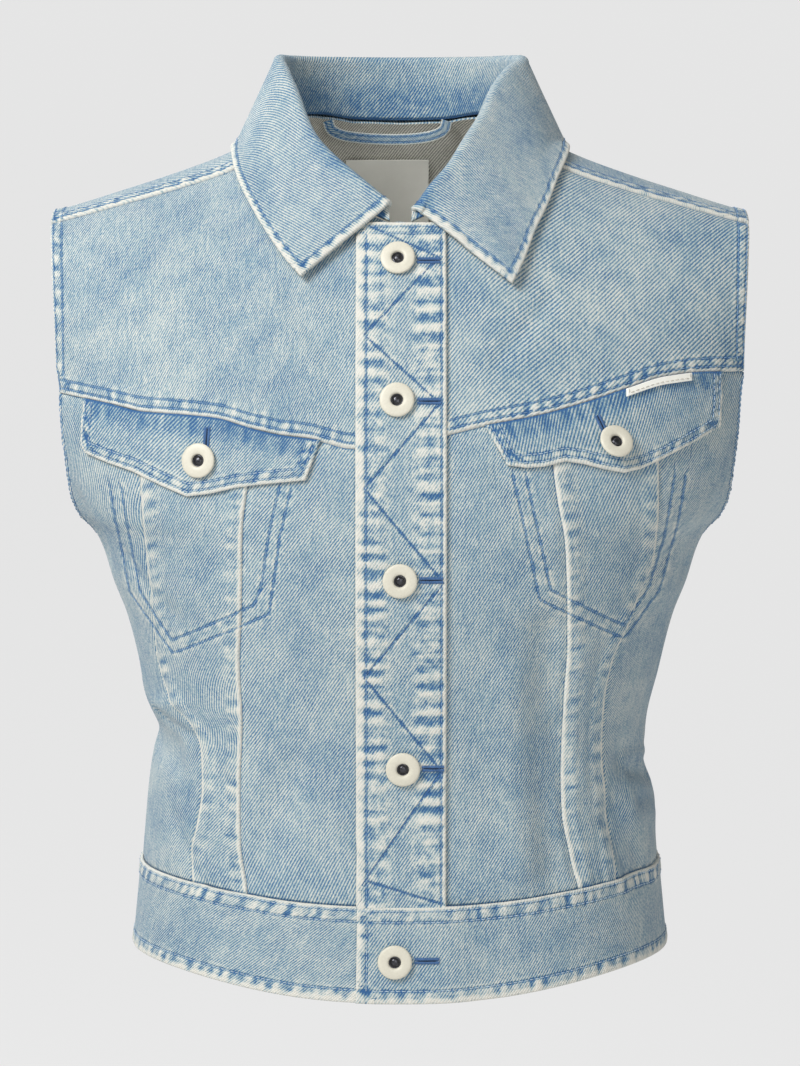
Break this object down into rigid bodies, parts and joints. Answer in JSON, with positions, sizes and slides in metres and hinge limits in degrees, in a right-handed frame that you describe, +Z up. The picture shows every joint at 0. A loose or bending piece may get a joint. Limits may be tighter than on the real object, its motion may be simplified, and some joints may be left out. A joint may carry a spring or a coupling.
{
  "type": "denim vest",
  "caption": "Cropped, boxy denim vest with a turned-down collar, seamed front panels, chest flaps, button placket and waistband, filled out as worn.",
  "frame": {"origin": "between the two neck ends of the shoulders, on the shoulder ridge, where a hanger or the wearer's shoulders hold the vest", "axes": "+Z up towards the collar, -Y out of the front, +X towards the wearer's left side"},
  "size_m": [0.3668, 0.2294, 0.4866],
  "materials": {
    "denim": "washed twill",
    "denim_deep": "washed twill",
    "satin": "satin weave",
    "button_metal": "ivory enamel"
  },
  "bodies": {
    "root": {"front_yoke_left": "denim", "front_yoke_right": "denim", "front_centre_left": "denim", "front_centre_right": "denim", "front_middle_left": "denim", "front_middle_right": "denim", "side_left": "denim", "side_right": "denim", "back_yoke": "denim", "back_panel": "denim", "waistband": "denim", "placket_upper": "denim", "placket_lower": "denim", "collar": "denim", "flap_left": "denim", "flap_right": "denim", "hanger_loop": "denim_deep", "neck_label": "satin", "chest_tab": "satin", "button_1": "button_metal", "button_2": "button_metal", "button_3": "button_metal", "button_4": "button_metal", "button_5": "button_metal", "button_flap_left": "button_metal", "button_flap_right": "button_metal"}
  },
  "joints": []
}
